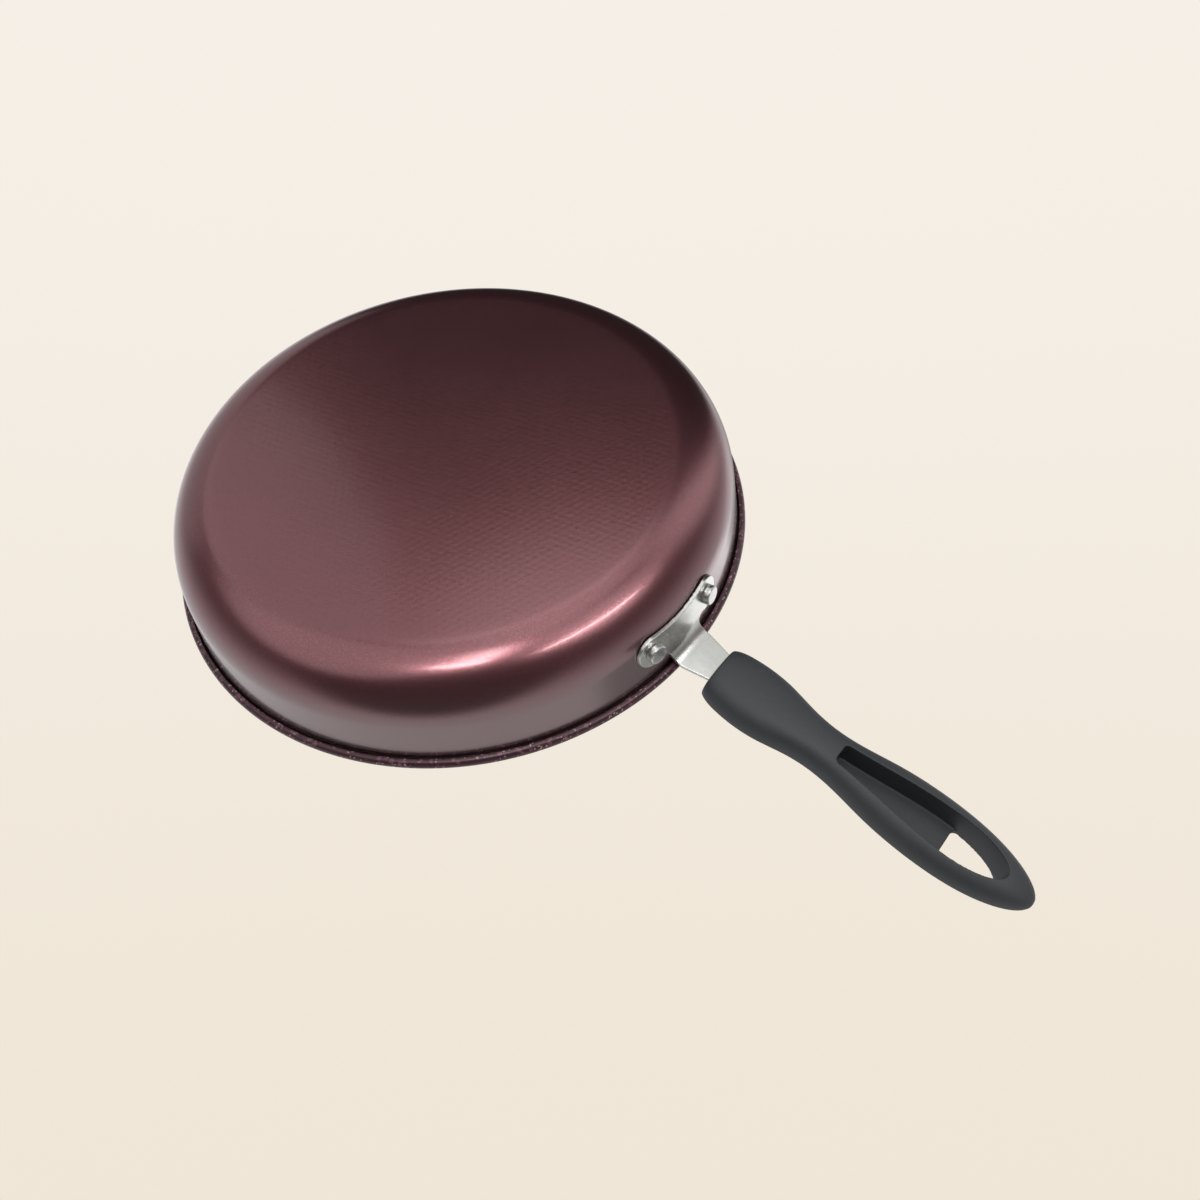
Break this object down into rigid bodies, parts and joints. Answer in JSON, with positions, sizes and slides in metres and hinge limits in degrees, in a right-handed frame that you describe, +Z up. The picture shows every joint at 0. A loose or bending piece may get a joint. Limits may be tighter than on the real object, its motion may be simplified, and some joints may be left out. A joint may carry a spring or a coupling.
{
  "type": "round frying pan",
  "caption": "Shallow round frying pan with a curled rim and a waisted grip on a riveted bracket, with a hanging hole.",
  "frame": {"origin": "centre of the flat underside of the pan, on the surface it stands on", "axes": "+Z up out of the opening, +X from the pan's centre out along the handle"},
  "size_m": [0.4182, 0.26, 0.0785],
  "materials": {
    "pan_paint": "pearl maroon stove paint outside, speckled maroon non-stick coat inside and over the rim",
    "bracket_metal": "bright plated, softly brushed",
    "rivet_metal": "bright, lightly marked by the setting tool",
    "grip_plastic": "charcoal thermoset, fine matte",
    "fastener_steel": "zinc plated"
  },
  "bodies": {
    "root": {"pan_body": "pan_paint", "handle_bracket": "bracket_metal", "rivet_left": "rivet_metal", "rivet_right": "rivet_metal", "handle": "grip_plastic", "handle_screw": "fastener_steel", "flat_washer": "fastener_steel", "spring_washer": "fastener_steel", "square_nut": "fastener_steel"}
  },
  "joints": []
}
